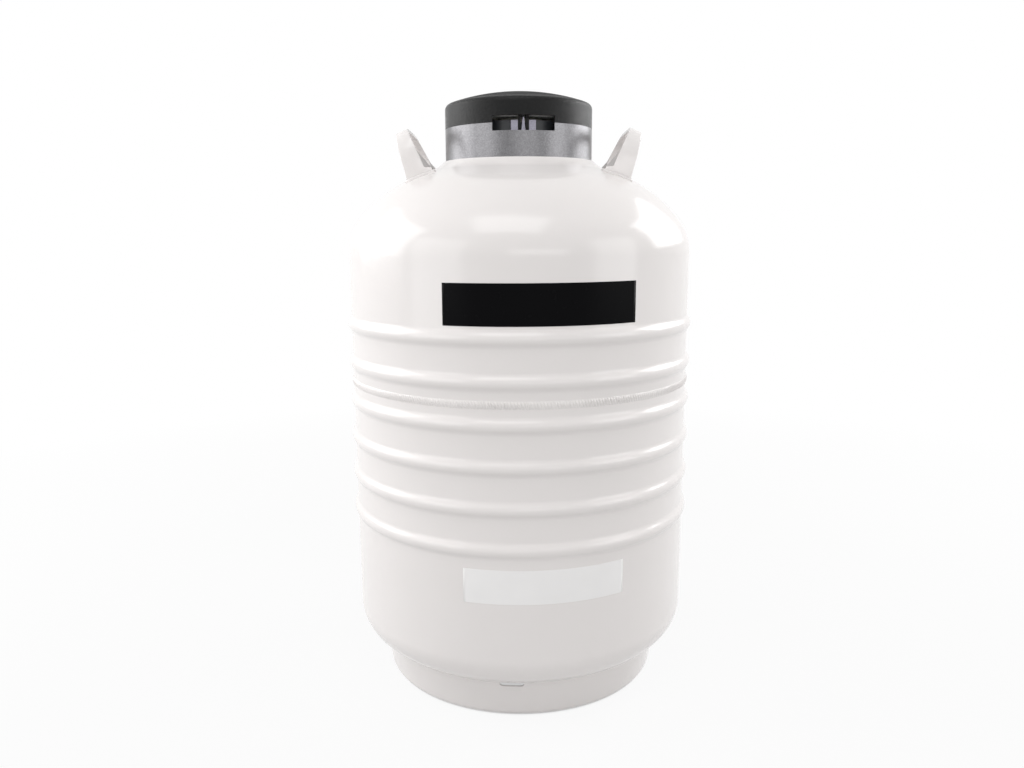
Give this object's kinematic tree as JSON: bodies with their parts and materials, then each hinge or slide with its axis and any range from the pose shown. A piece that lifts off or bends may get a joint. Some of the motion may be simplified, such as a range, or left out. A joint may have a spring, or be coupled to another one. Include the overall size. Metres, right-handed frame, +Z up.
{
  "type": "liquid nitrogen storage dewar",
  "caption": "Wide-necked aluminium dewar for frozen samples, with beaded double shell, carrying handles, hanging canisters, lock collar and lift-off lid with foam plug.",
  "frame": {"origin": "centre of the foot ring on the ground", "axes": "+Z up along the neck's axis, -Y to the front where the lock window is, +X to the right seen from the front"},
  "size_m": [0.4586, 0.4586, 0.7741],
  "materials": {
    "shell_paint": "gloss pearl white powder coat",
    "vessel_aluminium": "satin",
    "adsorbent_cloth": "woven",
    "insulation_foil": "crinkled foil and paper layers",
    "glass_fibre": "resin-bonded glass fibre",
    "port_rubber": "matt",
    "cap_plastic": "fine texture",
    "collar_plastic": "metallic silver, fine texture",
    "index_plastic": "satin dark grey",
    "screw_steel": "satin",
    "canister_steel": "bright drawn",
    "lid_plastic": "fine metallic black texture",
    "liner_plastic": "satin",
    "plug_foam": "closed-cell foam"
  },
  "bodies": {
    "vessel": {"outer_shell_upper": "shell_paint", "outer_shell_lower": "shell_paint", "foot_ring": "shell_paint", "handle_right": "shell_paint", "handle_left": "shell_paint", "inner_vessel_lower": "vessel_aluminium", "inner_vessel_upper": "vessel_aluminium", "adsorbent_pack": "adsorbent_cloth", "insulation_wrap": "insulation_foil", "neck_tube": "glass_fibre", "neck_flange": "vessel_aluminium", "vacuum_nozzle": "vessel_aluminium", "vacuum_plug": "port_rubber", "vacuum_cap": "cap_plastic", "collar": "collar_plastic", "index_ring": "index_plastic", "canister_locator": "vessel_aluminium", "collar_screws": "screw_steel", "canister_1": "canister_steel", "canister_2": "canister_steel", "canister_3": "canister_steel", "canister_4": "canister_steel", "canister_5": "canister_steel", "canister_6": "canister_steel", "canister_hanger_1": "canister_steel", "canister_hanger_2": "canister_steel", "canister_hanger_3": "canister_steel", "canister_hanger_4": "canister_steel", "canister_hanger_5": "canister_steel", "canister_hanger_6": "canister_steel"},
    "lid": {"lid_cap": "lid_plastic", "lid_liner": "liner_plastic", "neck_plug": "plug_foam", "liner_screws": "screw_steel"}
  },
  "joints": [
    {"name": "lid_lift", "type": "slide", "parent": "vessel", "child": "lid", "axis": [0, 0, 1], "range_m": [0, 0.26]}
  ]
}
